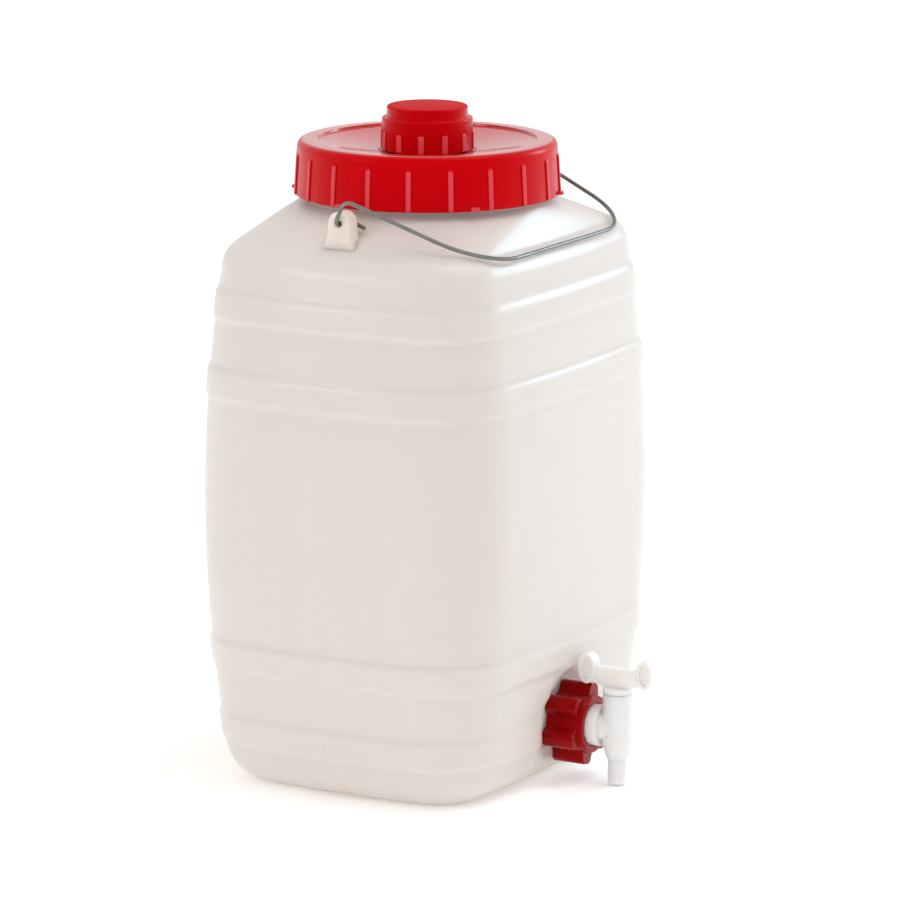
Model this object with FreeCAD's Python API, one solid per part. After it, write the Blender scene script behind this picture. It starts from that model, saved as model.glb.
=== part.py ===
import FreeCAD, Part

import math
import os

from FreeCAD import Vector

# A 15 litre plastic barrel of rounded rectangular plan with a round screw neck, a screw lid with a small
# filling cap on it, a folding wire bail and a tap held by a union nut. All sizes are in millimetres.
# The barrel stands upright: +Z is up, the base is at z = 0, the neck is centred on Z, the tap faces -Y
# and the two ears of the bail are at -X and +X.

# Barrel: blow moulded in one piece with its hoops, ears and outlet. The upper hoops are measured down
# from the top of the wall.
belly_half_x = 130.4
belly_half_y = 106.0
corner_radius = 52.8
belly_height = 167.6
belly_radius = 1185.0
face_turn_x = 7.3
face_turn_y = 5.0
wall = 2.4
base_edge_radius = 20.0
rim_start_height = 311.0
rim_radius = 12.0
rim_turn = 60.0
shoulder_rise = 31.8
shoulder_swell = 0.1
neck_radius = 72.2
neck_wall = 2.8
neck_foot = 2.0
neck_height = 30.6
hoop_heights = (33.2, 79.4)
hoop_drops = (68.8, 22.6)
hoop_width = 20.4
hoop_rise = 2.0
hoop_ramp = 3.2
base_notch_width = 24.0
base_notch_height = 3.0
base_notch_start = 78.0

# Ears that carry the bail
hinge_drop = 0.6
ear_inner_x = 93.2
ear_thickness = 11.0
ear_top_radius = 7.0
ear_foot_half_width = 9.5
ear_root_drop = 24.2
ear_hole_clearance = 0.4

# Bail: one bent length of galvanised wire, folded forwards
wire_diameter = 3.0
bail_side_gap = 1.6
bail_hook_length = 10.5
bail_hook_bend = 3.2
bail_step = 16.0
bail_step_bend = 5.6
bail_arm_length = 92.1
bail_half_width = 89.2
bail_corner_bend = 43.9
bail_fold_angle = 21.8

# Screw lid
lid_skirt_clearance = 4.4
lid_wall = 2.4
lid_skirt_flare = 2.0
lid_skirt_height = 32.1
lid_rim_thickness = 3.3
lid_edge_radius = 4.5
lid_recess_clearance = 2.0
lid_recess_depth = 7.8
lid_rib_count = 18
lid_rib_phase = 0.0
lid_rib_width = 2.6
lid_rib_rise = 1.1
lid_rib_height = 26.5
lid_nub_count = 6
lid_nub_phase = 50.0
lid_nub_width = 5.0
lid_nub_rise = 3.0
lid_nub_height = 2.6
lid_gasket_thickness = 2.0
lid_gasket_margin = 1.0

# Filling neck in the middle of the lid, with its cap
fill_neck_radius = 22.6
fill_neck_wall = 2.4
fill_neck_height = 17.1
cap_skirt_clearance = 2.2
cap_wall = 2.2
cap_foot_gap = 0.7
cap_crown_radius = 24.0
cap_crown_height = 6.8
cap_rib_count = 12
cap_rib_phase = 52.0
cap_rib_width = 3.4
cap_rib_rise = 0.9
cap_rib_height = 11.0
cap_gasket_thickness = 1.5
cap_gasket_inner_radius = 18.4

# Outlet on the tap face, with the union nut that holds the tap on it
outlet_height = 35.0
seat_radius = 27.5
seat_distance = 90.5
seat_flare_turn = 35.0
outlet_length = 16.0
outlet_radius = 13.4
outlet_bore_radius = 9.8
nut_seat_gap = 0.6
nut_thread_clearance = 1.4
nut_wall = 3.2
nut_lip = 2.6
nut_nose_length = 6.0
nut_nose_radius = 16.6
nut_lobe_count = 6
nut_lobe_phase = 78.0
nut_lobe_width = 9.5
nut_lobe_rise = 6.4
nut_lobe_edge = 1.6
tap_gasket_thickness = 2.0

# Tap: a body with a standing tapered sleeve, and a plug that is handle, valve and spout in one
flange_thickness = 3.0
flange_clearance = 0.4
spigot_length = 6.0
spigot_clearance = 0.6
collar_radius = 12.3
collar_nut_clearance = 0.6
collar_length = 8.5
inlet_bore_radius = 5.2
sleeve_nut_gap = 6.5
sleeve_radius = 8.7
sleeve_above = 21.0
sleeve_below = 18.5
sleeve_foot_radius = 6.4
sleeve_foot_height = 7.5
plug_top_radius = 6.4
plug_bottom_radius = 4.9
plug_clearance = 0.08
plug_seat_gap = 0.3
spout_radius = 5.6
spout_bore_radius = 3.9
spout_tip_height = 1.0
port_radius = 4.2
hub_thickness = 3.0
web_thickness = 4.0
web_height = 12.0
web_end_lift = 4.0
lobe_reach = 24.6
lobe_width = 11.0
lobe_height = 18.0
lobe_thickness = 8.0
lobe_lift = 1.3
lobe_dish = 1.6
lobe_rim = 2.4

# Heights that follow from the wall's
shoulder_top_height = rim_start_height + shoulder_rise
neck_top_height = shoulder_top_height + neck_height
hinge_height = shoulder_top_height - hinge_drop
ear_root_height = hinge_height - ear_root_drop

UP = Vector(0, 0, 1)
ALONG_X = Vector(1, 0, 0)
ALONG_Y = Vector(0, 1, 0)
ORIGIN = Vector(0, 0, 0)


def cylinder(radius, start, direction, length):
    return Part.makeCylinder(radius, length, start, direction)


def revolved(points):
    """Turns a closed outline of (radius, height) points about Z."""
    corners = [Vector(radius, 0, height) for radius, height in points]
    face = Part.Face(Part.makePolygon(corners + corners[:1]))
    return face.revolve(ORIGIN, UP, 360)


def placed_round(shape, count, phase):
    """Copies a shape to equal steps about Z, the first at the phase angle."""
    copies = []
    for index in range(count):
        copy = shape.copy()
        copy.rotate(ORIGIN, UP, phase + 360.0 * index / count)
        copies.append(copy)
    return copies


def rounded_path(points, radii):
    """Straight runs with a tangent arc of its own radius at each inner point."""
    edges = []
    last = points[0]
    for index, radius in enumerate(radii, start=1):
        here = points[index]
        back = (points[index - 1] - here).normalize()
        ahead = (points[index + 1] - here).normalize()
        half_turn = back.getAngle(ahead) / 2.0
        reach = radius / math.tan(half_turn)
        start = here + back * reach
        end = here + ahead * reach
        towards = (back + ahead).normalize()
        middle = here + towards * (radius / math.sin(half_turn) - radius)
        edges.append(Part.LineSegment(last, start).toShape())
        edges.append(Part.Arc(start, middle, end).toShape())
        last = end
    edges.append(Part.LineSegment(last, points[-1]).toShape())
    return Part.Wire(edges)


# Barrel body


def plan_wire(half_x, half_y, radius, height):
    """A rounded rectangle whose four sides are slightly crowned, as eight tangent arcs."""
    turn_x = math.radians(face_turn_x)
    turn_y = math.radians(face_turn_y)
    slope_x = math.tan(turn_x / 2.0)
    slope_y = math.tan(turn_y / 2.0)
    spare = 1.0 - slope_x * slope_y
    centre_x = ((half_x - radius) - (half_y - radius) * slope_x) / spare
    centre_y = ((half_y - radius) - (half_x - radius) * slope_y) / spare
    middle_turn = (turn_x + math.pi / 2.0 - turn_y) / 2.0

    def on_corner(angle, sign_x, sign_y):
        x = centre_x + radius * math.cos(angle)
        y = centre_y + radius * math.sin(angle)
        return Vector(sign_x * x, sign_y * y, height)

    edges = []
    quarters = ((1, 1), (-1, 1), (-1, -1), (1, -1))
    for sign_x, sign_y in quarters:
        near_x = on_corner(turn_x, sign_x, sign_y)
        middle = on_corner(middle_turn, sign_x, sign_y)
        near_y = on_corner(math.pi / 2.0 - turn_y, sign_x, sign_y)
        if sign_x == sign_y:
            below = on_corner(turn_x, sign_x, -sign_y)
            edges.append(Part.Arc(below, Vector(sign_x * half_x, 0, height), near_x).toShape())
            edges.append(Part.Arc(near_x, middle, near_y).toShape())
        else:
            beside = on_corner(math.pi / 2.0 - turn_y, -sign_x, sign_y)
            edges.append(Part.Arc(beside, Vector(0, sign_y * half_y, height), near_y).toShape())
            edges.append(Part.Arc(near_y, middle, near_x).toShape())
    return Part.Wire(edges)


def belly_wire(height, inset):
    """The plan of the bulged wall at one height, set in from the plain outer face."""
    drop = (height - belly_height) ** 2 / (2.0 * belly_radius)
    return plan_wire(belly_half_x - drop - inset, belly_half_y - drop - inset, corner_radius - inset, height)


def base_wires(inset):
    """The rounded edge between the base and the wall."""
    radius = base_edge_radius - inset
    wires = []
    for step in range(6):
        angle = math.radians(90.0 * step / 5.0)
        height = inset + radius * (1.0 - math.cos(angle))
        wires.append(belly_wire(height, inset + radius * (1.0 - math.sin(angle))))
    return wires


def shoulder_wires(inset):
    """The rounded rim above the wall, then the slope that turns the rectangle into the round neck."""
    radius = rim_radius - inset
    wires = []
    for step in range(5):
        angle = math.radians(rim_turn * step / 4.0)
        height = rim_start_height + radius * math.sin(angle)
        wires.append(belly_wire(height, inset + radius * (1.0 - math.cos(angle))))
    drop = (rim_start_height - belly_height) ** 2 / (2.0 * belly_radius)
    rim_inset = drop + inset + radius * (1.0 - math.cos(math.radians(rim_turn)))
    start_x = belly_half_x - rim_inset
    start_y = belly_half_y - rim_inset
    start_corner = corner_radius - rim_inset + drop
    start_height = rim_start_height + radius * math.sin(math.radians(rim_turn))
    end_radius = neck_radius + neck_foot - inset
    end_height = shoulder_top_height - 0.5 * inset
    for share in (0.3, 0.65, 1.0):
        rise = share + shoulder_swell * share * (1.0 - share)
        half_x = start_x + (end_radius - start_x) * share
        half_y = start_y + (end_radius - start_y) * share
        corner = start_corner + (end_radius - start_corner) * share
        wires.append(plan_wire(half_x, half_y, corner, start_height + (end_height - start_height) * rise))
    return wires


def wall_wires(inset):
    """The bulged wall without its hoops, from the base's edge up to the rim."""
    steps = 8
    rise = (rim_start_height - base_edge_radius) / steps
    heights = [base_edge_radius + rise * step for step in range(steps + 1)]
    return [belly_wire(height, inset) for height in heights]


def hooped_wall_wires():
    """The bulged wall with its hoops, each a flat crest between two ramps."""
    wires = [belly_wire(base_edge_radius, 0.0)]
    for middle in hoop_heights + tuple(rim_start_height - drop for drop in hoop_drops):
        foot = middle - hoop_width / 2.0
        end = middle + hoop_width / 2.0
        if wires[-1].BoundBox.ZMax < belly_height < foot:
            low = wires[-1].BoundBox.ZMax
            wires.append(belly_wire((low + belly_height) / 2.0, 0.0))
            wires.append(belly_wire(belly_height, 0.0))
            wires.append(belly_wire((belly_height + foot) / 2.0, 0.0))
        wires.append(belly_wire(foot, 0.0))
        wires.append(belly_wire(foot + hoop_ramp, -hoop_rise))
        wires.append(belly_wire(end - hoop_ramp, -hoop_rise))
        wires.append(belly_wire(end, 0.0))
    wires.append(belly_wire(rim_start_height, 0.0))
    return wires


def barrel_solid(inset, sides, neck_outer, neck_top):
    """A closed solid of the barrel's outside or inside, with straight bands between its plans."""
    foot_height = shoulder_top_height + neck_foot
    wires = base_wires(inset)[:-1] + sides + shoulder_wires(inset)[1:]
    wires.append(plan_wire(neck_outer, neck_outer, neck_outer, foot_height))
    wires.append(plan_wire(neck_outer, neck_outer, neck_outer, neck_top))
    faces = [Part.Face(wires[0]), Part.Face(wires[-1])]
    for lower, upper in zip(wires, wires[1:]):
        faces.extend(Part.makeLoft([lower, upper], False, True).Faces)
    shell = Part.makeShell(faces)
    shell.sewShape()
    solid = Part.Solid(shell)
    if solid.Volume < 0:
        solid.reverse()
    return solid


def ear(side):
    """A pierced ear on the shoulder, its round top centred on the bail's hinge line."""
    outer_x = ear_inner_x + ear_thickness
    half_top = ear_top_radius
    crown = Part.Arc(Vector(0, half_top, hinge_height), Vector(0, 0, hinge_height + ear_top_radius),
                     Vector(0, -half_top, hinge_height)).toShape()
    foot_left = Vector(0, -ear_foot_half_width, ear_root_height)
    foot_right = Vector(0, ear_foot_half_width, ear_root_height)
    sides = [crown,
             Part.LineSegment(Vector(0, -half_top, hinge_height), foot_left).toShape(),
             Part.LineSegment(foot_left, foot_right).toShape(),
             Part.LineSegment(foot_right, Vector(0, half_top, hinge_height)).toShape()]
    block = Part.Face(Part.Wire(sides)).extrude(ALONG_X * ear_thickness)
    start_x = ear_inner_x if side > 0 else -outer_x
    block.translate(Vector(start_x, 0, 0))
    return block


def ear_hole(side):
    start_x = ear_inner_x if side > 0 else -(ear_inner_x + ear_thickness)
    radius = wire_diameter / 2.0 + ear_hole_clearance
    return cylinder(radius, Vector(start_x - 1.0, 0, hinge_height), ALONG_X, ear_thickness + 2.0)


def base_notch(side, margin):
    """The notch in the base's edge where the mould halves nip off the tube."""
    length = belly_half_x - base_notch_start + margin
    width = base_notch_width + 2.0 * margin
    start_x = base_notch_start - margin if side > 0 else -base_notch_start + margin - length
    box = Part.makeBox(length, width, base_notch_height + 2.0 * margin + 1.0)
    box.translate(Vector(start_x, -width / 2.0, -1.0 - margin))
    return box


def along_tap(distance):
    """A point on the outlet's axis, at a distance in front of the barrel's middle."""
    return Vector(0, -distance, outlet_height)


def barrel():
    outside = barrel_solid(0.0, hooped_wall_wires(), neck_radius, neck_top_height)
    inside = barrel_solid(wall, wall_wires(wall), neck_radius - neck_wall, neck_top_height + 1.0)
    out = -ALONG_Y
    seat_depth = belly_half_y + hoop_rise - seat_distance
    flared = seat_radius + seat_depth * math.tan(math.radians(seat_flare_turn))
    seat = cylinder(seat_radius, along_tap(seat_distance - seat_depth), out, seat_depth)
    recess = Part.makeCone(seat_radius, flared, seat_depth, along_tap(seat_distance), out)
    seat_back = Part.makeCone(seat_radius + wall, flared + wall, seat_depth, along_tap(seat_distance - wall), out)
    outlet = cylinder(outlet_radius, along_tap(seat_distance - 1.0), out, outlet_length + 1.0)
    outlet_bore = cylinder(outlet_bore_radius, along_tap(seat_distance - seat_depth - 5.0), out,
                           outlet_length + seat_depth + 10.0)
    for side in (-1, 1):
        outside = outside.cut(base_notch(side, 0.0))
        inside = inside.cut(base_notch(side, wall))
    inside = inside.cut(seat_back)
    body = outside.fuse([seat.common(outside.copy()), ear(-1), ear(1)])
    body = body.cut(recess).fuse([seat, outlet])
    body = body.cut([inside, outlet_bore, ear_hole(-1), ear_hole(1)])
    return body.removeSplitter()


# Screw lid and filling cap

lid_rim_under = neck_top_height + lid_gasket_thickness
lid_top = lid_rim_under + lid_rim_thickness
lid_bottom = lid_top - lid_skirt_height
lid_skirt_inner = neck_radius + lid_skirt_clearance
lid_skirt_outer = lid_skirt_inner + lid_wall
lid_recess_radius = neck_radius - neck_wall - lid_recess_clearance - lid_wall
lid_disc_top = lid_top - lid_recess_depth
fill_neck_top = lid_disc_top + fill_neck_height


def rib(outer_low, outer_high, rise, width, low, height, blend):
    """An upright grip rib on a slightly tapered skirt, square to X, with a sloping top end."""
    sunk = 1.0
    points = [(outer_low - sunk, low), (outer_low + rise, low),
              (outer_high + rise, low + height - blend), (outer_high - sunk, low + height)]
    corners = [Vector(radius, -width / 2.0, level) for radius, level in points]
    return Part.Face(Part.makePolygon(corners + corners[:1])).extrude(ALONG_Y * width)


def screw_lid():
    top_outer = lid_skirt_outer - lid_skirt_flare
    top_inner = lid_skirt_inner - lid_skirt_flare
    cup_outer = lid_recess_radius + lid_wall
    fill_bore = fill_neck_radius - fill_neck_wall
    edge = lid_edge_radius
    bend = edge * (1.0 - math.cos(math.radians(45.0)))
    points = [
        (lid_skirt_inner, lid_bottom), (lid_skirt_outer, lid_bottom),
        (top_outer, lid_top - edge), (top_outer - bend, lid_top - bend),
        (top_outer - edge, lid_top), (lid_recess_radius, lid_top),
        (lid_recess_radius, lid_disc_top), (fill_neck_radius, lid_disc_top),
        (fill_neck_radius, fill_neck_top), (fill_bore, fill_neck_top),
        (fill_bore, lid_disc_top - lid_wall), (cup_outer, lid_disc_top - lid_wall),
        (cup_outer, lid_rim_under), (top_inner, lid_rim_under),
    ]
    lid = revolved(points)
    rib_share = lid_rib_height / (lid_skirt_height - edge)
    grip = rib(lid_skirt_outer, lid_skirt_outer - lid_skirt_flare * rib_share, lid_rib_rise,
               lid_rib_width, lid_bottom, lid_rib_height, 2.0)
    nub = rib(lid_skirt_outer, lid_skirt_outer, lid_nub_rise, lid_nub_width, lid_bottom, lid_nub_height, 1.0)
    grips = placed_round(grip, lid_rib_count, lid_rib_phase)
    nubs = placed_round(nub, lid_nub_count, lid_nub_phase)
    return lid.fuse(grips + nubs).removeSplitter()


def lid_gasket():
    inner = neck_radius - neck_wall - lid_gasket_margin
    outer = lid_skirt_inner - lid_skirt_flare - lid_gasket_margin
    return revolved([(inner, neck_top_height), (outer, neck_top_height), (outer, lid_rim_under),
                     (inner, lid_rim_under)])


cap_step_under = fill_neck_top + cap_gasket_thickness
cap_step_top = cap_step_under + cap_wall
cap_top = cap_step_top + cap_crown_height
cap_foot = lid_disc_top + cap_foot_gap
cap_skirt_inner = fill_neck_radius + cap_skirt_clearance
cap_skirt_outer = cap_skirt_inner + cap_wall


def small_cap():
    edge = 1.4
    crown_inner = cap_crown_radius - cap_wall
    points = [
        (cap_skirt_inner, cap_foot), (cap_skirt_outer, cap_foot),
        (cap_skirt_outer, cap_step_top - edge), (cap_skirt_outer - edge, cap_step_top),
        (cap_crown_radius, cap_step_top), (cap_crown_radius, cap_top - edge),
        (cap_crown_radius - edge, cap_top), (0, cap_top), (0, cap_top - cap_wall),
        (crown_inner, cap_top - cap_wall), (crown_inner, cap_step_under),
        (cap_skirt_inner, cap_step_under),
    ]
    grip = rib(cap_skirt_outer, cap_skirt_outer, cap_rib_rise, cap_rib_width, cap_foot, cap_rib_height, 1.2)
    cap = revolved(points).fuse(placed_round(grip, cap_rib_count, cap_rib_phase))
    return cap.removeSplitter()


def cap_gasket():
    outer = cap_skirt_inner - 0.4
    return revolved([(cap_gasket_inner_radius, fill_neck_top), (outer, fill_neck_top),
                     (outer, cap_step_under), (cap_gasket_inner_radius, cap_step_under)])


# Bail


def bail():
    """The wire with its two hooked ends, in the folded position on the shoulder."""
    leg_x = ear_inner_x + ear_thickness + bail_side_gap + wire_diameter / 2.0
    hook_x = ear_inner_x - bail_side_gap - wire_diameter / 2.0
    fold = math.radians(bail_fold_angle)

    def place(x, forward, lift):
        y = -(forward * math.cos(fold) + lift * math.sin(fold))
        z = hinge_height - forward * math.sin(fold) + lift * math.cos(fold)
        return Vector(x, y, z)

    half = [place(-hook_x, bail_hook_length, 0), place(-hook_x, 0, 0), place(-leg_x, 0, 0),
            place(-leg_x, 0, bail_step), place(-bail_half_width, bail_arm_length, bail_step)]
    other = [Vector(-point.x, point.y, point.z) for point in reversed(half)]
    bends = [bail_hook_bend, bail_hook_bend, bail_step_bend, bail_corner_bend]
    path = rounded_path(half + other, bends + bends[::-1])
    first = path.Edges[0]
    direction = first.tangentAt(first.FirstParameter)
    section = Part.Wire(Part.makeCircle(wire_diameter / 2.0, half[0], direction))
    return path.makePipeShell([section], True, False)


# Outlet, tap and union nut

outlet_face = seat_distance + outlet_length
flange_back = outlet_face + tap_gasket_thickness
flange_front = flange_back + flange_thickness
nut_back = seat_distance + nut_seat_gap
nut_front = flange_front + 0.2 + nut_lip
nut_inner = outlet_radius + nut_thread_clearance
nut_outer = nut_inner + nut_wall


def nut_lobe():
    """One coarse finger lobe, pointing along +X, its corners chamfered, from the nut's back to its nose."""
    root = nut_inner + nut_lobe_edge
    tip = nut_outer + nut_lobe_rise
    half = nut_lobe_width / 2.0
    edge = nut_lobe_edge
    front = nut_front - nut_nose_length
    outline = [(root, -half - edge), (tip - edge, -half), (tip, -half + edge), (tip, half - edge),
               (tip - edge, half), (root, half + edge)]
    corners = [Vector(x, -front, outlet_height + z) for x, z in outline]
    return Part.Face(Part.makePolygon(corners + corners[:1])).extrude(ALONG_Y * (front - nut_back))


def union_nut():
    out = -ALONG_Y
    shoulder = nut_front - nut_nose_length
    ring = cylinder(nut_outer, along_tap(nut_back), out, shoulder - nut_back)
    nose = Part.makeCone(nut_outer, nut_nose_radius, nut_nose_length, along_tap(shoulder), out)
    hollow = cylinder(nut_inner, along_tap(nut_back - 1.0), out, nut_front - nut_lip - nut_back + 1.0)
    mouth = cylinder(collar_radius + collar_nut_clearance, along_tap(nut_back), out, nut_front)
    lobes = []
    for index in range(nut_lobe_count):
        lobe_copy = nut_lobe()
        lobe_copy.rotate(along_tap(0), -ALONG_Y, nut_lobe_phase + 360.0 * index / nut_lobe_count)
        lobes.append(lobe_copy)
    return ring.fuse([nose] + lobes).cut([hollow, mouth]).removeSplitter()


def tap_gasket():
    out = -ALONG_Y
    disc = cylinder(outlet_radius, along_tap(outlet_face), out, tap_gasket_thickness)
    return disc.cut(cylinder(outlet_bore_radius, along_tap(outlet_face - 1.0), out, tap_gasket_thickness + 2.0))


sleeve_distance = nut_front + sleeve_nut_gap + sleeve_radius
sleeve_top = outlet_height + sleeve_above
sleeve_bottom = outlet_height - sleeve_below
plug_slope = (plug_top_radius - plug_bottom_radius) / (sleeve_top - sleeve_bottom)
sleeve_axis = Vector(0, -sleeve_distance, 0)


def standing(points):
    """Turns an outline of (radius, height) points about the tap's upright axis."""
    shape = revolved(points)
    shape.translate(sleeve_axis)
    return shape


def plug_radius(height):
    return plug_bottom_radius + plug_slope * (height - sleeve_bottom)


def tap_body():
    out = -ALONG_Y
    flange = cylinder(nut_inner - flange_clearance, along_tap(flange_back), out, flange_thickness)
    spigot = cylinder(outlet_bore_radius - spigot_clearance, along_tap(flange_back - spigot_length), out,
                      spigot_length)
    collar = cylinder(collar_radius, along_tap(flange_front), out, collar_length)
    sleeve = standing([(0, sleeve_bottom), (sleeve_foot_radius, sleeve_bottom),
                       (sleeve_radius, sleeve_bottom + sleeve_foot_height), (sleeve_radius, sleeve_top),
                       (0, sleeve_top)])
    bridge = cylinder(sleeve_radius, along_tap(flange_front), out, sleeve_distance - flange_front)
    low = sleeve_bottom - 1.0
    high = sleeve_top + 1.0
    taper = standing([(0, low), (plug_radius(low) + plug_clearance, low),
                      (plug_radius(high) + plug_clearance, high), (0, high)])
    inlet = cylinder(inlet_bore_radius, along_tap(flange_back - spigot_length - 1.0), out,
                     sleeve_distance - flange_back + spigot_length + 1.0)
    return flange.fuse([spigot, collar, sleeve, bridge]).cut([taper, inlet]).removeSplitter()


hub_bottom = sleeve_top + plug_seat_gap
hub_top = hub_bottom + hub_thickness


def lobe(side):
    """One dished finger pad of the handle, an upright oval."""
    centre = Vector(0, side * (lobe_reach - lobe_width / 2.0), hub_top + lobe_lift + lobe_height / 2.0)

    def oval(half_width, half_height, thickness, offset):
        curve = Part.Ellipse(Vector(offset, centre.y, centre.z + half_height),
                             Vector(offset, centre.y + half_width, centre.z),
                             Vector(offset, centre.y, centre.z))
        return Part.Face(Part.Wire(curve.toShape())).extrude(ALONG_X * thickness)

    half = lobe_thickness / 2.0
    pad = oval(lobe_width / 2.0, lobe_height / 2.0, lobe_thickness, -half)
    dish_width = lobe_width / 2.0 - lobe_rim
    dish_height = lobe_height / 2.0 - lobe_rim
    dishes = [oval(dish_width, dish_height, lobe_dish, half - lobe_dish),
              oval(dish_width, dish_height, lobe_dish, -half)]
    return pad.cut(dishes)


def tap_plug():
    low = sleeve_bottom - plug_seat_gap
    stem = standing([(0, low), (plug_radius(low), low), (plug_radius(hub_bottom), hub_bottom), (0, hub_bottom)])
    spout = standing([(0, spout_tip_height), (spout_radius - 0.6, spout_tip_height),
                      (spout_radius, spout_tip_height + 0.6), (spout_radius, low), (0, low)])
    hub = standing([(0, hub_bottom), (sleeve_radius, hub_bottom), (sleeve_radius, hub_top - 0.6),
                    (sleeve_radius - 0.6, hub_top), (0, hub_top)])
    web_reach = lobe_reach - lobe_width / 2.0
    web_root = sleeve_radius - 1.2
    sunk = hub_top - 0.5
    outline = [(-web_root, sunk), (web_root, sunk), (web_root, hub_top), (web_reach, hub_top + web_end_lift),
               (web_reach, hub_top + web_height), (-web_reach, hub_top + web_height),
               (-web_reach, hub_top + web_end_lift), (-web_root, hub_top)]
    corners = [Vector(-web_thickness / 2.0, y, z) + sleeve_axis for y, z in outline]
    web = Part.Face(Part.makePolygon(corners + corners[:1])).extrude(ALONG_X * web_thickness)
    pads = []
    for side in (-1, 1):
        pad = lobe(side)
        pad.translate(sleeve_axis)
        pads.append(pad)
    bore_top = outlet_height + port_radius
    bore_start = Vector(0, -sleeve_distance, spout_tip_height - 1.0)
    bore = cylinder(spout_bore_radius, bore_start, UP, bore_top - spout_tip_height + 1.0)
    port = cylinder(port_radius, along_tap(sleeve_distance), ALONG_Y, plug_top_radius + 2.0)
    return stem.fuse([spout, hub, web] + pads).cut([bore, port]).removeSplitter()


PIECES = {
    "barrel": barrel,
    "screw_lid": screw_lid,
    "lid_gasket": lid_gasket,
    "small_cap": small_cap,
    "cap_gasket": cap_gasket,
    "bail": bail,
    "union_nut": union_nut,
    "tap_gasket": tap_gasket,
    "tap_body": tap_body,
    "tap_plug": tap_plug,
}

os.makedirs("parts", exist_ok=True)
for name, make in PIECES.items():
    piece = make()
    piece.exportStep("parts/" + name + ".step")
    print(name, len(piece.Solids), "solid", round(piece.Volume / 1000.0, 1), "cm3", piece.isValid())
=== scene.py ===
import math

import bmesh
import bpy
from mathutils import Matrix, Vector


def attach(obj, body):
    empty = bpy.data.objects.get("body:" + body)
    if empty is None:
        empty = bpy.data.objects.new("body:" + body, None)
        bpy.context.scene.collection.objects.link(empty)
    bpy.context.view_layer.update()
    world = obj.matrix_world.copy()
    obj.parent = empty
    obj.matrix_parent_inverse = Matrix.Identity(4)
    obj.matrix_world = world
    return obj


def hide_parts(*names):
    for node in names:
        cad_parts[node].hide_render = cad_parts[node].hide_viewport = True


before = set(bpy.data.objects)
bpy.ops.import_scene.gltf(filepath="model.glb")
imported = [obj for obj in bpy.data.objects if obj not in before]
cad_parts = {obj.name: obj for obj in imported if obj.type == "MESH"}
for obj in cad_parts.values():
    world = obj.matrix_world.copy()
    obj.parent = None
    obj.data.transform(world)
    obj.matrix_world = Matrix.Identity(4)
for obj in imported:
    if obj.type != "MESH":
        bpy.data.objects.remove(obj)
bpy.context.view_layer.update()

# Barrel: the body, hoops, shoulder, neck, ears and outlet are one blow-moulded piece of natural milky
# polyethylene, with walls of about 2.4 mm. The two mould halves meet in a fine seam through the ears.
# Sizes are in metres, the same as in the frame.
belly_half_x, belly_half_y, corner_radius = 0.1295, 0.1051, 0.0528
belly_height, belly_radius = 0.167, 0.905
crown_x, crown_y = math.radians(7.3), math.radians(5.0)
wall, base_edge = 0.0024, 0.020
rim_height, rim_radius, rim_turn = 0.3085, 0.018, math.radians(60)
shoulder_top, shoulder_crown = 0.3428, 0.1
neck_radius, neck_wall, neck_foot, neck_top = 0.0722, 0.0028, 0.002, 0.3734
hoops = (0.0332, 0.0794, 0.2422, 0.2884)
hoop_rise, hoop_half_width, hoop_ramp = 0.0015, 0.0106, 0.0042
tap_height, tap_side_from = 0.035, -0.06
seat_distance, seat_radius, seat_turn, seat_blend = 0.0905, 0.0275, math.radians(35), 0.0015
notch_height, notch_start, notch_run = 0.003, 0.078, 0.003
notch_half_width, notch_side = 0.0125, 0.0025
side_points, front_points, corner_points = 26, 30, 22
edge_rows, rim_rows, shoulder_rows = 12, 8, 14


def plan(half_x, half_y, radius):
    """The plan at one height: a rounded rectangle with crowned sides, as points from the +X side round."""
    slope_x, slope_y = math.tan(crown_x / 2), math.tan(crown_y / 2)
    spare = 1 - slope_x * slope_y
    corner_x = ((half_x - radius) - (half_y - radius) * slope_x) / spare
    corner_y = ((half_y - radius) - (half_x - radius) * slope_y) / spare
    side = radius + corner_y / math.sin(crown_x)
    front = radius + corner_x / math.sin(crown_y)
    quarter = math.pi / 2
    arcs = []
    for index, (sx, sy) in enumerate(((1, 1), (-1, 1), (-1, -1), (1, -1))):
        start = index * quarter
        corner = (sx * corner_x, sy * corner_y)
        if index % 2 == 0:
            middle = (sx * (half_x - side), 0)
            arcs.append((middle, side, start - crown_x, start + crown_x, side_points))
            arcs.append((corner, radius, start + crown_x, start + quarter - crown_y, corner_points))
        else:
            middle = (0, sy * (half_y - front))
            arcs.append((middle, front, start - crown_y, start + crown_y, front_points))
            arcs.append((corner, radius, start + crown_y, start + quarter - crown_x, corner_points))
    points = []
    for (x, y), reach, begin, end, count in arcs:
        for step in range(count):
            angle = begin + (end - begin) * step / count
            points.append((x + reach * math.cos(angle), y + reach * math.sin(angle)))
    return points


def smooth(value):
    """The value's way from 0 to 1, with a soft start and end."""
    value = min(max(value, 0.0), 1.0)
    return value * value * (3 - 2 * value)


def belly_inset(height):
    """How far the outside lies inside the belly's widest plan, with the hoops standing out of it."""
    drop = (height - belly_height) ** 2 / (2 * belly_radius)
    hoop_shares = [smooth((hoop_half_width - abs(height - middle)) / hoop_ramp) for middle in hoops]
    return drop - sum(hoop_rise * share for share in hoop_shares)


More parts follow.
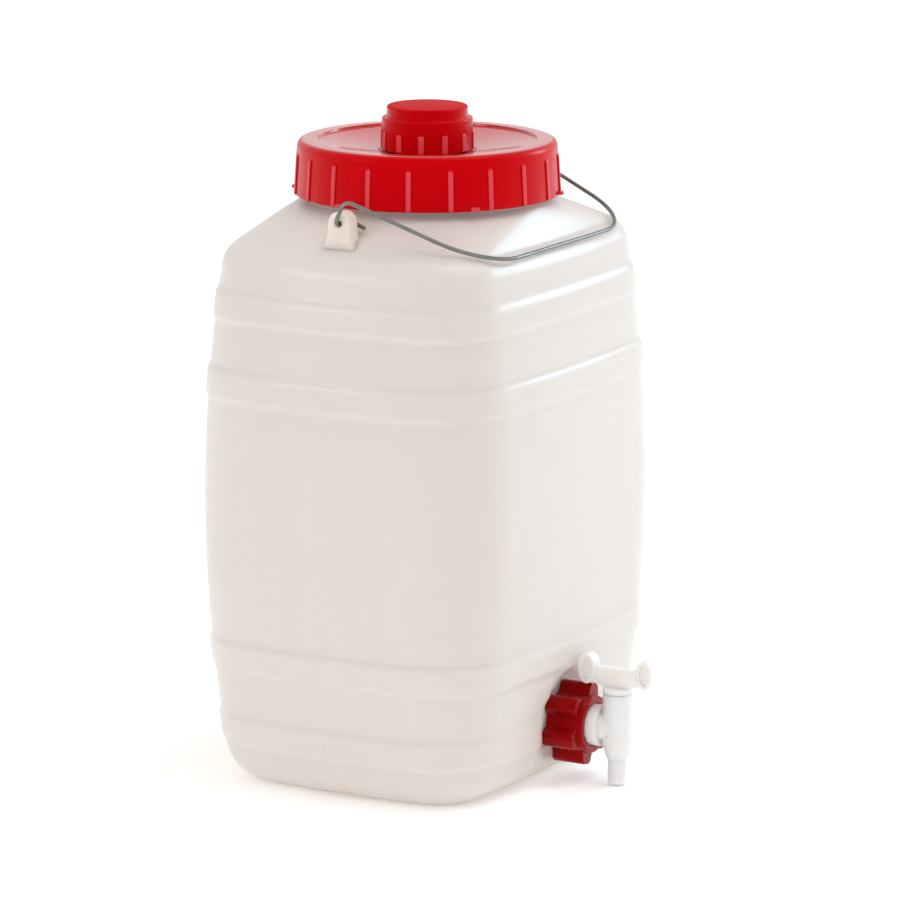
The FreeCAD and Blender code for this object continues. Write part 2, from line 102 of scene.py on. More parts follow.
def barrel_rows(inset, wall_rows):
    """Rows of (height, half x, half y, corner radius) up one skin of the wall, base first."""
    rows = []

    def plain(height, setback):
        corner = corner_radius - max(setback, inset)
        rows.append((height, belly_half_x - setback, belly_half_y - setback, corner))

    edge = base_edge - inset
    for step in range(edge_rows):
        angle = math.pi / 2 * step / edge_rows
        height = inset + edge * (1 - math.cos(angle))
        plain(height, belly_inset(height) + inset + edge * (1 - math.sin(angle)))
    for step in range(wall_rows):
        height = base_edge + (rim_height - base_edge) * step / wall_rows
        plain(height, belly_inset(height) + inset)
    bend = rim_radius - inset
    for step in range(rim_rows + 1):
        angle = rim_turn * step / rim_rows
        height = rim_height + bend * math.sin(angle)
        plain(height, belly_inset(rim_height) + inset + bend * (1 - math.cos(angle)))
    height, half_x, half_y, corner = rows[-1]
    end = neck_radius + neck_foot - inset
    top = shoulder_top - 0.5 * inset
    for step in range(1, shoulder_rows + 1):
        share = step / shoulder_rows
        rise = share + shoulder_crown * share * (1 - share)
        rows.append((height + (top - height) * rise, half_x + (end - half_x) * share,
                     half_y + (end - half_y) * share, corner + (end - corner) * share))
    return rows


def lathe_rows(outline, steps):
    """Rows of points round Z, one for each (radius, height) of a turned piece's outline."""
    angles = [2 * math.pi * k / steps for k in range(steps)]
    return [[(radius * math.cos(angle), radius * math.sin(angle), height) for angle in angles]
            for radius, height in outline]


def skin(name, rows, ends):
    """A closed mesh through rows of equal length. The end rows are joined to each other ("ring"), drawn to
    a point on the Z axis ("pole") or each filled by one face ("flat")."""
    made = bmesh.new()
    loops = [[made.verts.new(point) for point in row] for row in rows]
    pairs = list(zip(loops, loops[1:]))
    if ends == "ring":
        pairs.append((loops[-1], loops[0]))
    for lower, upper in pairs:
        for k in range(len(lower)):
            n = (k + 1) % len(lower)
            made.faces.new((lower[k], lower[n], upper[n], upper[k]))
    for loop in (loops[0], loops[-1]):
        if ends == "flat":
            made.faces.new(loop)
        elif ends == "pole":
            middle = sum((vertex.co for vertex in loop), Vector()) / len(loop)
            centre = made.verts.new((0, 0, middle.z))
            for k in range(len(loop)):
                made.faces.new((loop[k], loop[(k + 1) % len(loop)], centre))
    bmesh.ops.recalc_face_normals(made, faces=made.faces)
    mesh = bpy.data.meshes.new(name)
    made.to_mesh(mesh)
    made.free()
    return mesh


def turned(mesh, matrix):
    mesh.transform(matrix)
    return mesh


def join(name, meshes, material, edge=35):
    """One object of several meshes, smooth but for edges sharper than the given angle."""
    made = bmesh.new()
    for mesh in meshes:
        made.from_mesh(mesh)
    whole = bpy.data.meshes.new(name)
    made.to_mesh(whole)
    made.free()
    whole.materials.clear()
    whole.materials.append(material)
    for polygon in whole.polygons:
        polygon.use_smooth = True
        polygon.material_index = 0
    whole.set_sharp_from_angle(angle=math.radians(edge))
    made_object = bpy.data.objects.new(name, whole)
    bpy.context.scene.collection.objects.link(made_object)
    return made_object


class Flow:
    """A value in a material's node tree, so that a finish can be written as plain sums."""

    def __init__(self, tree, socket=None):
        self.tree = tree
        self.socket = socket

    def node(self, kind, settings=None, sockets=None, output=0):
        made = self.tree.nodes.new(kind)
        for name, value in (settings or {}).items():
            setattr(made, name, value)
        for name, value in (sockets or {}).items():
            if isinstance(value, Flow):
                self.tree.links.new(value.socket, made.inputs[name])
            else:
                made.inputs[name].default_value = value
        return Flow(self.tree, made.outputs[output])

    def maths(self, operation, first, second=None):
        sockets = {0: first} if second is None else {0: first, 1: second}
        return self.node("ShaderNodeMath", {"operation": operation}, sockets)

    def __add__(self, other):
        return self.maths("ADD", self, other)

    def __radd__(self, other):
        return self.maths("ADD", other, self)

    def __sub__(self, other):
        return self.maths("SUBTRACT", self, other)

    def __rsub__(self, other):
        return self.maths("SUBTRACT", other, self)

    def __mul__(self, other):
        return self.maths("MULTIPLY", self, other)

    def __rmul__(self, other):
        return self.maths("MULTIPLY", other, self)

    def size(self):
        return self.maths("ABSOLUTE", self)

    def root(self):
        return self.maths("SQRT", self)

    def below(self, limit, soft):
        """1 where the value is under the limit, falling to 0 over the soft width above it."""
        return self.node("ShaderNodeMapRange", {"interpolation_type": "SMOOTHSTEP", "clamp": True},
                         {"Value": self, "From Min": limit, "From Max": limit + soft,
                          "To Min": 1.0, "To Max": 0.0})

    def above(self, limit, soft):
        """0 where the value is under the limit, rising to 1 over the soft width above it."""
        return 1.0 - self.below(limit, soft)


class Finish:
    """A material on the plain surface shader, with the object's coordinates ready to draw patterns from."""

    def __init__(self, name):
        self.material = bpy.data.materials.new(name)
        self.material.use_nodes = True
        self.tree = self.material.node_tree
        self.shader = self.tree.nodes["Principled BSDF"]
        self.start = Flow(self.tree)
        self.place = self.start.node("ShaderNodeTexCoord", output=3)

    def set(self, **values):
        for name, value in values.items():
            socket = self.shader.inputs[name.replace("_", " ")]
            if isinstance(value, Flow):
                self.tree.links.new(value.socket, socket)
            else:
                socket.default_value = value

    def axes(self):
        split = self.tree.nodes.new("ShaderNodeSeparateXYZ")
        self.tree.links.new(self.place.socket, split.inputs[0])
        return [Flow(self.tree, split.outputs[k]) for k in range(3)]

    def stretched(self, x, y, z):
        return self.start.node("ShaderNodeMapping", sockets={"Vector": self.place, "Scale": (x, y, z)})

    def noise(self, scale, detail=3.0, roughness=0.5, where=None):
        sockets = {"Vector": where or self.place, "Scale": scale, "Detail": detail, "Roughness": roughness}
        return self.start.node("ShaderNodeTexNoise", sockets=sockets)

    def blend(self, factor, first, second):
        sockets = {0: factor, 6: first, 7: second}
        return self.start.node("ShaderNodeMix", {"data_type": "RGBA"}, sockets, output=2)

    def bump(self, height, strength, distance):
        return self.start.node("ShaderNodeBump", sockets={"Height": height, "Strength": strength,
                                                          "Distance": distance})


milky = Finish("natural_polyethylene")
x_place, y_place, _ = milky.axes()
cloud = milky.noise(14.0, 2.0)
streak = milky.noise(1.0, 3.0, where=milky.stretched(60.0, 60.0, 7.0))
scuff = milky.noise(220.0, 4.0, 0.65)
skin_grain = milky.noise(900.0, 2.0)
ripple = milky.noise(1.0, 2.0, where=milky.stretched(24.0, 24.0, 9.0))
seam_half_width, seam_start = 0.0004, 0.055
seam = y_place.size().below(seam_half_width, 0.0007) * (seam_start - x_place.size()).below(0.0, 0.002)
deep_milk, pale_milk = (0.765, 0.662, 0.59, 1), (0.815, 0.722, 0.655, 1)
milky.set(Base_Color=milky.blend(0.55 * cloud + 0.45 * streak, deep_milk, pale_milk),
          Roughness=0.25 + 0.12 * scuff,
          Normal=milky.bump(0.05 * skin_grain + 0.9 * ripple + 0.12 * seam, 0.55, 0.0012),
          Subsurface_Weight=0.45, Subsurface_Radius=(1.0, 0.85, 0.7), Subsurface_Scale=0.012, IOR=1.5,
          Specular_IOR_Level=0.42)


def tap_recess(point, depth):
    """Draws a point of the tap face back to the flared seat round the outlet."""
    x, y, z = point
    if y > tap_side_from:
        return point
    reach = math.hypot(x, z - tap_height)
    seat = -(seat_distance - depth) - max(0.0, reach - seat_radius - depth) / math.tan(seat_turn)
    gap = y - seat
    if gap > seat_blend:
        return point
    if gap > -seat_blend:
        seat += 0.25 * (gap + seat_blend) ** 2 / seat_blend
    return (x, seat, z)


def base_notch(point):
    """Lifts the base's edge where the mould nips off the tube, on the two narrow sides."""
    x, y, z = point
    along = smooth((abs(x) - notch_start) / notch_run)
    across = smooth((notch_half_width - abs(y)) / notch_side)
    return (x, y, max(z, notch_height * along * across))


def plan_loops(rows):
    return [[(x, y, height) for x, y in plan(half_x, half_y, corner)]
            for height, half_x, half_y, corner in rows]


base_shares = (0.15, 0.5, 0.8)
outside = plan_loops(barrel_rows(0.0, 150))
outside = [[(x * share, y * share, 0.0) for x, y, _ in outside[0]] for share in base_shares] + outside
inside = plan_loops(reversed(barrel_rows(wall, 60)))
inside += [[(x * share, y * share, wall) for x, y, _ in inside[-1]] for share in reversed(base_shares)]
neck_start, neck_straight = shoulder_top + 0.002, 0.0258
neck_inner, neck_edge = neck_radius - neck_wall, 0.0008
neck_line = [(neck_radius + neck_edge, shoulder_top + 0.0009), (neck_radius, neck_start)]
neck_line += [(neck_radius, neck_start + neck_straight * k / 6) for k in range(1, 7)]
neck_line += [(neck_radius - 0.0003, neck_top - 0.0006), (neck_radius - 0.0009, neck_top),
              (neck_inner + neck_edge, neck_top), (neck_inner, neck_top - neck_edge)]
neck = plan_loops([(height, radius, radius, radius) for radius, height in neck_line])
outside = [[tap_recess(base_notch(point), 0.0) for point in row] for row in outside]
inside = [[tap_recess(point, wall) for point in row] for row in inside]
body_skin = skin("body_skin", outside + neck + inside, "pole")


def curve_mesh(name, settings, lines, flat=False):
    """A plain mesh from one curve: lines are lists of points, with True where a line closes."""
    curve = bpy.data.curves.new(name, "CURVE")
    curve.dimensions = "2D" if flat else "3D"
    for setting, value in settings.items():
        setattr(curve, setting, value)
    for points, closed in lines:
        spline = curve.splines.new("POLY")
        spline.points.add(len(points) - 1)
        for target, point in zip(spline.points, points):
            target.co = (*point, 0.0, 1.0) if flat else (*point, 1.0)
        spline.use_cyclic_u = closed
    holder = bpy.data.objects.new(name, curve)
    bpy.context.scene.collection.objects.link(holder)
    bpy.context.view_layer.update()
    evaluated = holder.evaluated_get(bpy.context.evaluated_depsgraph_get())
    mesh = bpy.data.meshes.new_from_object(evaluated)
    bpy.data.objects.remove(holder)
    made = bmesh.new()
    made.from_mesh(mesh)
    bmesh.ops.remove_doubles(made, verts=made.verts, dist=1e-6)
    bmesh.ops.recalc_face_normals(made, faces=made.faces)
    made.to_mesh(mesh)
    made.free()
    return mesh


hinge_height = 0.3422
ear_inner, ear_thickness, ear_round, ear_bore_radius, ear_edge = 0.0932, 0.011, 0.007, 0.0019, 0.0014


def round_hinge(radius, degrees):
    """Points round the hinge line, in the ear's own plane."""
    return [(radius * math.cos(math.radians(a)), hinge_height + radius * math.sin(math.radians(a)))
            for a in degrees]


# The ear's foot flares as it goes down: half its width and the height of each point.
ear_flare = [(0.0074, 0.3370), (0.0079, 0.3340), (0.0088, 0.3310), (0.0106, 0.3285), (0.0113, 0.3200)]
ear_outline = round_hinge(ear_round, range(0, 181, 12))
ear_outline += [(-across, up) for across, up in ear_flare] + ear_flare[::-1]
ear_bore = round_hinge(ear_bore_radius, range(0, 360, 20))
ear_settings = {"fill_mode": "BOTH", "extrude": ear_thickness / 2 - ear_edge, "bevel_depth": ear_edge,
                "bevel_resolution": 3, "offset": -ear_edge}
upright = Matrix(((0, 0, 1, 0), (1, 0, 0, 0), (0, 1, 0, 0), (0, 0, 0, 1)))
ears = []
for side in (-1, 1):
    ear = curve_mesh("ear", ear_settings, [(ear_outline, True), (ear_bore, True)], flat=True)
    middle = side * (ear_inner + ear_thickness / 2)
    ears.append(turned(ear, Matrix.Translation((middle, 0, 0)) @ upright))

thread_pitch, thread_steps, thread_fade = 0.006, 240, 12


def thread(name, radius, rise, turns, start, thickness):
    """A round screw ridge that rises from a wall, and fades into it at both ends."""
    line = []
    for step in range(thread_steps + 1):
        angle = 2 * math.pi * turns * step / thread_steps
        fade = min(1.0, step / thread_fade, (thread_steps - step) / thread_fade)
        reach = radius + rise * fade
        line.append((reach * math.cos(angle), reach * math.sin(angle),
                     start + thread_pitch * angle / (2 * math.pi)))
    settings = {"bevel_depth": thickness, "bevel_resolution": 2, "use_fill_caps": True}
    return curve_mesh(name, settings, [(line, False)])


neck_thread = thread("neck_thread", neck_radius - 0.0008, 0.0007, 2.4, 0.3515, 0.0014)

outlet_radius, outlet_bore, outlet_root, outlet_end, outlet_edge = 0.0134, 0.0098, 0.089, 0.1065, 0.0006
outlet_ring = [(outlet_radius, outlet_root), (outlet_radius, outlet_end - outlet_edge),
               (outlet_radius - outlet_edge, outlet_end), (outlet_bore, outlet_end),
               (outlet_bore, outlet_root)]
to_front = Matrix(((1, 0, 0, 0), (0, 0, -1, 0), (0, 1, 0, tap_height), (0, 0, 0, 1)))
outlet = turned(skin("outlet", lathe_rows(outlet_ring, 64), "ring"), to_front)
barrel_piece = join("barrel_body", [body_skin, neck_thread, outlet] + ears, milky.material, edge=50)
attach(barrel_piece, "barrel")
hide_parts("barrel")

# Screw lid: a red injection-moulded lid with a dished disc behind a low step, a rounded outer edge, twenty
# grip ribs that run out at the top and six small nubs at its lower edge. The filling neck stands in its
# middle. The thread inside turns on the barrel's neck.
lid_top, lid_bottom, lid_ceiling = 0.3787, 0.3466, 0.3754
lid_outer, lid_flare, lid_inner = 0.0790, 0.002, 0.0766
lid_recess, lid_step, lid_disc, lid_disc_wall = 0.065, 0.0014, 0.3709, 0.0024
fill_radius, fill_wall, fill_top = 0.0226, 0.0024, 0.3880


def soften(corners, steps):
    """A closed outline with each corner of (across, up, radius) rounded off."""
    points = []
    for index, (a, b, radius) in enumerate(corners):
        here = Vector((a, b))
        before = Vector(corners[index - 1][:2]) - here
        after = Vector(corners[(index + 1) % len(corners)][:2]) - here
        cut = min(radius, 0.48 * before.length, 0.48 * after.length)
        if cut < 1e-6:
            points.append((a, b))
            continue
        start = here + before.normalized() * cut
        end = here + after.normalized() * cut
        for step in range(steps + 1):
            t = step / steps
            point = start * (1 - t) ** 2 + here * (2 * t * (1 - t)) + end * t * t
            points.append((point.x, point.y))
    return points


fill_inner, disc_under = fill_radius - fill_wall, lid_disc - lid_disc_wall
lid_corners = [
    (lid_inner, lid_bottom, 0.0004), (lid_outer, lid_bottom, 0.0006),
    (lid_outer - lid_flare, lid_top, 0.0045), (lid_recess, lid_top, 0.0004),
    (lid_recess - 0.0003, lid_top - lid_step, 0.0005), (fill_radius, lid_disc, 0.0010),
    (fill_radius, fill_top, 0.0004), (fill_inner, fill_top, 0.0004),
    (fill_inner, disc_under, 0.0004), (fill_radius + 0.0034, disc_under, 0.0008),
    (lid_inner - 0.0076, lid_ceiling, 0.0006), (lid_inner - 0.0020, lid_ceiling, 0.0006),
]
lid_shell = skin("lid_shell", lathe_rows(soften(lid_corners, 6), 240), "ring")


def ring_tree():
    """Copies a shape round Z in equal steps: its inputs are the count, the first angle and the material."""
    tree = bpy.data.node_groups.new("equal_steps_round_z", "GeometryNodeTree")
    for name, kind in (("Geometry", "NodeSocketGeometry"), ("Count", "NodeSocketInt"),
                       ("First Angle", "NodeSocketFloat"), ("Material", "NodeSocketMaterial")):
        tree.interface.new_socket(name, in_out="INPUT", socket_type=kind)
    tree.interface.new_socket("Geometry", in_out="OUTPUT", socket_type="NodeSocketGeometry")
    nodes, links = tree.nodes, tree.links
    given = nodes.new("NodeGroupInput")
    result = nodes.new("NodeGroupOutput")
    points = nodes.new("GeometryNodePoints")
    index = nodes.new("GeometryNodeInputIndex")
    step = nodes.new("ShaderNodeMath")
    step.operation = "DIVIDE"
    step.inputs[0].default_value = 2 * math.pi
    angle = nodes.new("ShaderNodeMath")
    angle.operation = "MULTIPLY_ADD"
    about_z = nodes.new("ShaderNodeCombineXYZ")
    turn = nodes.new("FunctionNodeEulerToRotation")
    copies = nodes.new("GeometryNodeInstanceOnPoints")
    real = nodes.new("GeometryNodeRealizeInstances")
    painted = nodes.new("GeometryNodeSetMaterial")
    for source, target in (
            (given.outputs["Count"], points.inputs["Count"]), (given.outputs["Count"], step.inputs[1]),
            (index.outputs[0], angle.inputs[0]), (step.outputs[0], angle.inputs[1]),
            (given.outputs["First Angle"], angle.inputs[2]), (angle.outputs[0], about_z.inputs["Z"]),
            (about_z.outputs[0], turn.inputs[0]), (points.outputs[0], copies.inputs["Points"]),
            (given.outputs["Geometry"], copies.inputs["Instance"]),
            (turn.outputs[0], copies.inputs["Rotation"]), (copies.outputs[0], real.inputs[0]),
            (real.outputs[0], painted.inputs["Geometry"]),
            (given.outputs["Material"], painted.inputs["Material"]),
            (painted.outputs[0], result.inputs[0])):
        links.new(source, target)
    return tree


round_z = ring_tree()


def ring(mesh, count, first_angle, material):
    """The plain mesh of a shape copied round Z by the tree."""
    holder = bpy.data.objects.new("ring", mesh)
    bpy.context.scene.collection.objects.link(holder)
    modifier = holder.modifiers.new("ring", "NODES")
    modifier.node_group = round_z
    named = {item.name: item.identifier for item in round_z.interface.items_tree
             if item.item_type == "SOCKET" and item.in_out == "INPUT"}
    modifier[named["Count"]] = count
    modifier[named["First Angle"]] = math.radians(first_angle)
    modifier[named["Material"]] = material
    bpy.context.view_layer.update()
    evaluated = holder.evaluated_get(bpy.context.evaluated_depsgraph_get())
    copied = bpy.data.meshes.new_from_object(evaluated)
    holder.modifiers.clear()
    bpy.data.objects.remove(holder)
    return copied


def bar(profile, width, edge):
    """A straight bar with rounded long edges: the profile is (across, up), and the width runs along Y."""
    section = soften([(a, b, edge) for a, b in profile], 3)
    middle = Vector((sum(a for a, _ in section) / len(section), sum(b for _, b in section) / len(section)))
    rows = []
    for along, share in ((-0.5, 0.82), (-0.42, 0.95), (-0.3, 1.0), (0.3, 1.0), (0.42, 0.95), (0.5, 0.82)):
        up_share = 0.9 + 0.1 * share
        rows.append([(middle.x + (a - middle.x) * share, along * width,
                      middle.y + (b - middle.y) * up_share) for a, b in section])
    return skin("bar", rows, "flat")


red = Finish("red_moulding")
red_cloud = red.noise(30.0, 2.0)
red_grain = red.noise(1400.0, 2.0)
red_scuff = red.noise(90.0, 5.0, 0.7)
red_x, red_y, red_z = red.axes()
red_reach = (red_x * red_x + red_y * red_y).root()
lid_plate_inner, lid_plate_outer = 0.0290, 0.0735
cap_rib_inner, cap_rib_outer, cap_rib_foot, cap_plate = 0.0273, 0.0288, 0.3727, 0.3970
skirt_reach = lid_outer - (red_z - lid_bottom) * (lid_flare / (lid_top - lid_bottom))
on_lid_rib = (red_reach - skirt_reach).above(0.0003, 0.0006)
on_lid_top = red_z.above(lid_disc - 0.0006, 0.0008) * red_reach.above(lid_plate_inner, 0.0006)
on_lid_top = on_lid_top * red_reach.below(lid_plate_outer, 0.0015)
on_cap_rib = red_reach.above(cap_rib_inner, 0.0003) * red_reach.below(cap_rib_outer, 0.0002)
on_cap_rib = on_cap_rib * red_z.above(cap_rib_foot, 0.0004)
on_cap_top = red_z.above(cap_plate, 0.0008)
# Painted highlight: the crests of the lid's and the cap's grip ribs are blended to a lighter pink-red,
# standing in for the highlight lines that light draws along each rib.
rib_highlight_red = (0.90, 0.14, 0.17, 1)
red_tone = red.blend(red_cloud, (0.50, 0.0005, 0.002, 1), (0.60, 0.001, 0.005, 1))
red.set(Base_Color=red.blend(0.45 * on_lid_rib + 0.55 * on_cap_rib, red_tone, rib_highlight_red),
        Roughness=0.20 + 0.12 * red_scuff + 0.4 * on_cap_top, Normal=red.bump(red_grain, 0.12, 0.0003),
        IOR=1.5, Specular_IOR_Level=0.25, Specular_Tint=(1.0, 0.06, 0.07, 1.0),
        Coat_Weight=0.9 * on_lid_top, Coat_Roughness=0.10)

rib_low, rib_count, rib_width, rib_start = lid_bottom + 0.0003, 20, 0.0028, 3.6
nub_count, nub_width, nub_start = 6, 0.005, 50.0
rib_profile = [(lid_outer - 0.0015, rib_low), (lid_outer + 0.0010, rib_low),
               (lid_outer - 0.0005, lid_bottom + 0.0235), (lid_outer - 0.0032, lid_bottom + 0.0265)]
nub_profile = [(lid_outer - 0.0015, rib_low), (lid_outer + 0.0028, rib_low),
               (lid_outer + 0.0026, lid_bottom + 0.0022), (lid_outer - 0.0015, lid_bottom + 0.0028)]
lid_ribs = ring(bar(rib_profile, rib_width, 0.0012), rib_count, rib_start, red.material)
lid_nubs = ring(bar(nub_profile, nub_width, 0.0008), nub_count, nub_start, red.material)
lid_thread = thread("lid_thread", 0.0761, -0.0004, 2.2, 0.3545, 0.0011)
lid_piece = join("screw_lid_shell", [lid_shell, lid_thread, lid_ribs, lid_nubs], red.material)
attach(lid_piece, "lid")
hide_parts("screw_lid")

# Filling cap: a small red screw cap with a ribbed skirt and a plain round crown set in a step above it.
# It is moulded in the same red as the lid and screws onto the lid's filling neck.
cap_foot, cap_outer, cap_wall, cap_ceiling = 0.3726, 0.0270, 0.0022, 0.3895
cap_step, cap_crown, cap_top = 0.3917, 0.0240, 0.3985
cap_inner, crown_inner, crown_under = cap_outer - cap_wall, cap_crown - cap_wall, cap_top - cap_wall
cap_corners = [
    (0.0, crown_under, 0.0), (crown_inner, crown_under, 0.0005), (crown_inner, cap_ceiling, 0.0005),
    (cap_inner, cap_ceiling, 0.0005), (cap_inner, cap_foot, 0.0003), (cap_outer, cap_foot, 0.0005),
    (cap_outer, cap_step, 0.0016), (cap_crown, cap_step, 0.0007), (cap_crown, cap_top, 0.0016),
    (0.0, cap_top, 0.0),
]
cap_shell = skin("cap_shell", lathe_rows(soften(cap_corners, 5)[1:-1], 128), "pole")
cap_rib_count, cap_rib_width, cap_rib_start = 12, 0.0034, 52.0
cap_rib_profile = [(cap_outer - 0.001, cap_foot + 0.0002), (cap_outer + 0.0008, cap_foot + 0.0002),
                   (cap_outer + 0.0007, cap_foot + 0.0105), (cap_outer - 0.001, cap_foot + 0.012)]
cap_ribs = ring(bar(cap_rib_profile, cap_rib_width, 0.0008), cap_rib_count, cap_rib_start, red.material)
cap_piece = join("filling_cap", [cap_shell, cap_ribs], red.material)
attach(cap_piece, "cap")
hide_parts("small_cap")

# Sealing rings: three flat rings of pale rubber, under the lid, in the cap and between outlet and tap.
# Each is held by being clamped between its two neighbours.
rubber = Finish("pale_sealing_rubber")
rubber_grain = rubber.noise(700.0, 3.0)
rubber_cloud = rubber.noise(60.0, 2.0)
rubber.set(Base_Color=rubber.blend(rubber_cloud, (0.56, 0.55, 0.52, 1), (0.66, 0.65, 0.62, 1)),
           Roughness=0.62 + 0.16 * rubber_grain, Normal=rubber.bump(rubber_grain, 0.25, 0.0004))


def paint(node, finish):
    """Gives a material to a solid that keeps its own shape."""
    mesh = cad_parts[node].data
    mesh.materials.clear()
    mesh.materials.append(finish.material)


for gasket in ("lid_gasket", "cap_gasket", "tap_gasket"):
    paint(gasket, rubber)

# Bail: one length of galvanised spring wire, 2.4 mm thick, bent cold. Its hooked ends pass through the two
# ears, rise in short legs and carry the arms and the crossbar. It is folded down on the front shoulder.
wire_radius = 0.0012
leg_x, leg_height, leg_bend = 0.1073, 0.016, 0.0056
hook_x, hook_end, hook_bend = 0.0901, 0.0105, 0.0032
bar_x, bar_reach, bar_bend = 0.0892, 0.0921, 0.0439
fold = math.radians(21.8)


def on_bail(x, forward, lift):
    """A point of the folded bail, from its reach along the arms and its height above their plane."""
    return Vector((x, -(forward * math.cos(fold) + lift * math.sin(fold)),
                   hinge_height - forward * math.sin(fold) + lift * math.cos(fold)))


half_bail = [
    (on_bail(-hook_x, hook_end, 0), 0), (on_bail(-hook_x, 0, 0), hook_bend),
    (on_bail(-leg_x, 0, 0), hook_bend), (on_bail(-leg_x, 0, leg_height), leg_bend),
    (on_bail(-bar_x, bar_reach, leg_height), bar_bend),
]
bail_corners = half_bail + [(Vector((-p.x, p.y, p.z)), bend) for p, bend in reversed(half_bail)]
bail_line = [bail_corners[0][0]]
for (before, _), (here, bend), (after, _) in zip(bail_corners, bail_corners[1:], bail_corners[2:]):
    back, ahead = (before - here).normalized(), (after - here).normalized()
    half_turn = back.angle(ahead) / 2
    centre = here + (back + ahead).normalized() * (bend / math.sin(half_turn))
    first = here + back * (bend / math.tan(half_turn)) - centre
    last = here + ahead * (bend / math.tan(half_turn)) - centre
    steps = 28 if bend == bar_bend else 10
    for step in range(steps + 1):
        bail_line.append(centre + first.slerp(last, step / steps) * first.length)
bail_line.append(bail_corners[-1][0])
wire_settings = {"bevel_depth": wire_radius, "bevel_resolution": 5, "use_fill_caps": True}
bail_wire = curve_mesh("bail_wire", wire_settings, [([tuple(point) for point in bail_line], False)])
zinc = Finish("galvanised_wire")
spangle = zinc.start.node("ShaderNodeTexVoronoi", {"feature": "F1"}, {"Vector": zinc.place, "Scale": 420.0},
                          output=1)
zinc_dull = zinc.noise(120.0, 4.0, 0.6)
drawn = zinc.noise(900.0, 2.0)
pale_zinc, dull_zinc = (0.26, 0.255, 0.24, 1), (0.13, 0.128, 0.12, 1)
zinc.set(Base_Color=zinc.blend(0.5 * zinc_dull + 0.3 * spangle, pale_zinc, dull_zinc), Metallic=1.0,
         Roughness=0.24 + 0.22 * zinc_dull, Normal=zinc.bump(drawn, 0.10, 0.0002))
bail_piece = join("bail_wire", [bail_wire], zinc.material)
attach(bail_piece, "bail")
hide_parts("bail")

# Union nut: a thick dark red nut with six coarse finger lobes and a short tapered nose. It screws onto the
# outlet's thread and draws the tap's flange against the seal.
nut_back, nut_front, nut_nose, nut_lip = 0.0911, 0.1143, 0.0028, 0.0026
nut_inner, nut_outer, nose_radius, nut_mouth = 0.0148, 0.0180, 0.0170, 0.0129
lobe_count, lobe_start, lobe_root, lobe_tip, lobe_slope, lobe_edge = 6, 78.0, 0.0164, 0.0244, 0.0016, 0.0022
lobe_root_half, lobe_side_half, lobe_tip_half, lobe_middle = 0.0063, 0.0048, 0.0030, 0.019
nut_shoulder = nut_front - nut_nose
nut_corners = [
    (nut_inner, nut_back, 0.0003), (nut_outer, nut_back, 0.0004), (nut_outer, nut_shoulder, 0.0008),
    (nose_radius, nut_front, 0.0008), (nut_mouth, nut_front, 0.0005),
    (nut_mouth, nut_front - nut_lip, 0.0003), (nut_inner, nut_front - nut_lip, 0.0004),
]
nut_shell = skin("nut_shell", lathe_rows(soften(nut_corners, 4), 96), "ring")
lobe_outline = soften([
    (lobe_root, -lobe_root_half, 0.0), (lobe_tip - lobe_slope, -lobe_side_half, lobe_edge),
    (lobe_tip, -lobe_tip_half, lobe_edge), (lobe_tip, lobe_tip_half, lobe_edge),
    (lobe_tip - lobe_slope, lobe_side_half, lobe_edge), (lobe_root, lobe_root_half, 0.0),
], 4)
lobe_rows = []
for height, share in ((nut_back, 0.94), (nut_back + 0.0006, 1.0), (nut_shoulder - 0.0009, 1.0),
                      (nut_shoulder - 0.0002, 0.97), (nut_shoulder, 0.93)):
    lobe_rows.append([(lobe_middle + (a - lobe_middle) * share, b * share, height)
                      for a, b in lobe_outline])
deep_red = Finish("dark_red_moulding")
deep_cloud = deep_red.noise(70.0, 2.0)
deep_grain = deep_red.noise(1200.0, 2.0)
deep_red.set(Base_Color=deep_red.blend(deep_cloud, (0.21, 0.0005, 0.001, 1), (0.30, 0.001, 0.003, 1)),
             Roughness=0.20 + 0.14 * deep_cloud, Normal=deep_red.bump(deep_grain, 0.12, 0.0003), IOR=1.5,
             Specular_Tint=(1.0, 0.08, 0.08, 1.0))
lobes = ring(skin("nut_lobe", lobe_rows, "flat"), lobe_count, lobe_start, deep_red.material)
nut_piece = join("union_nut_shell", [nut_shell, lobes], deep_red.material)
nut_piece.data.transform(to_front)
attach(nut_piece, "nut")
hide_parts("union_nut")

# Tap body and plug: two milky mouldings. The body is flange, collar and standing sleeve. The plug is
# finger handle, tapered valve and spout in one, pushed down into the sleeve.
tap_white = Finish("milky_tap_moulding")
tap_cloud = tap_white.noise(90.0, 2.0)
tap_grain = tap_white.noise(1300.0, 2.0)
tap_white.set(Base_Color=tap_white.blend(tap_cloud, (0.80, 0.775, 0.755, 1), (0.875, 0.86, 0.845, 1)),
              Roughness=0.30 + 0.14 * tap_cloud, Normal=tap_white.bump(tap_grain, 0.10, 0.0003), IOR=1.5,
              Subsurface_Weight=0.5, Subsurface_Radius=(1.0, 0.9, 0.8), Subsurface_Scale=0.006)
for moulding in ("tap_body", "tap_plug"):
    paint(moulding, tap_white)

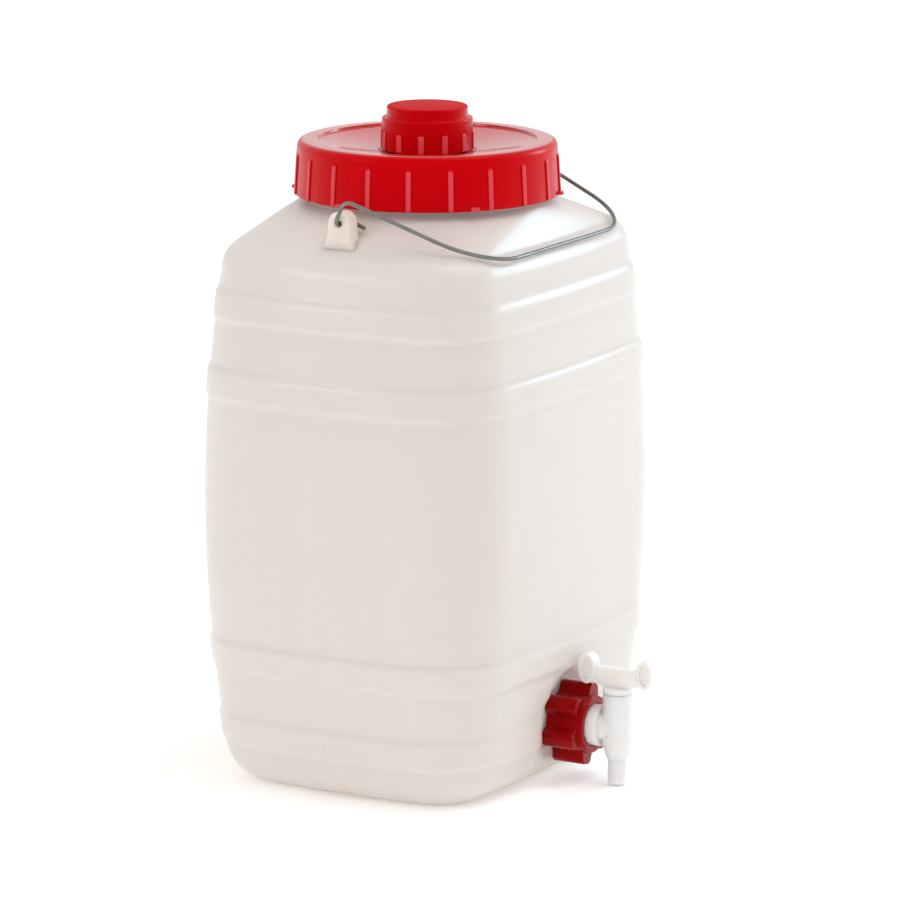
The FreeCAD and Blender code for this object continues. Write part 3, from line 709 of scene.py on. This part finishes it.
# Setting: a plain white floor and surround, a cool lamp beside the tap's side, a warmer one beside the
# narrow side that the camera sees, a soft one above, and the camera at the photograph's angle.
far = 9
floor_mesh = bpy.data.meshes.new("floor")
floor_mesh.from_pydata([(-far, -far, 0), (far, -far, 0), (far, far, 0), (-far, far, 0)], [], [(0, 1, 2, 3)])
paper = Finish("pale_paper")
paper_cloud = paper.noise(2.0, 2.0)
paper.set(Base_Color=paper.blend(paper_cloud, (0.93, 0.93, 0.93, 1), (0.96, 0.96, 0.96, 1)), Roughness=0.8,
          Emission_Color=(1.0, 1.0, 1.0, 1.0), Emission_Strength=0.22)
floor_mesh.materials.append(paper.material)
floor = bpy.data.objects.new("floor", floor_mesh)
bpy.context.scene.collection.objects.link(floor)

surround = bpy.data.worlds.new("surround")
surround.use_nodes = True
surround.node_tree.nodes["Background"].inputs["Color"].default_value = (1.0, 1.0, 1.0, 1.0)
surround.node_tree.nodes["Background"].inputs["Strength"].default_value = 0.82
bpy.context.scene.world = surround


def lamp(name, place, aim, size, power, colour):
    """A soft rectangular lamp that is turned to the point it aims at."""
    light = bpy.data.lights.new(name, "AREA")
    light.shape = "RECTANGLE"
    light.size, light.size_y = size
    light.energy = power
    light.color = colour
    holder = bpy.data.objects.new(name, light)
    holder.location = place
    holder.rotation_euler = (Vector(aim) - Vector(place)).to_track_quat("-Z", "Y").to_euler()
    bpy.context.scene.collection.objects.link(holder)


lamp("window", (2.6, -1.5, 1.3), (0, 0, 0.2), (0.8, 1.0), 27.0, (0.60, 0.84, 1.0))
lamp("reflector", (-2.6, 1.5, 1.2), (0, 0, 0.2), (0.7, 0.9), 10.0, (1.0, 0.98, 0.92))
lamp("ceiling", (0.2, -0.9, 2.6), (0, 0, 0.33), (1.2, 1.2), 14.0, (1.0, 0.99, 1.0))

camera_turn, camera_distance, camera_height = math.radians(-60.28), 3.2, 0.86306
camera_pitch, camera_yaw = math.radians(11.88), math.radians(0.24)
focal_pixels, frame_pixels, sensor_width = 5459.87, 900, 36.0
lens = bpy.data.cameras.new("camera")
lens.sensor_width = sensor_width
lens.lens = focal_pixels / frame_pixels * sensor_width
lens.clip_start, lens.clip_end = 0.05, 60.0
camera = bpy.data.objects.new("camera", lens)
camera.location = (camera_distance * math.sin(camera_turn), -camera_distance * math.cos(camera_turn),
                   camera_height)
heading = camera_turn - camera_yaw
gaze = Vector((-math.sin(heading) * math.cos(camera_pitch), math.cos(heading) * math.cos(camera_pitch),
               -math.sin(camera_pitch)))
camera.rotation_euler = gaze.to_track_quat("-Z", "Y").to_euler()
bpy.context.scene.collection.objects.link(camera)
bpy.context.scene.camera = camera
bpy.context.scene.view_settings.view_transform = "Standard"
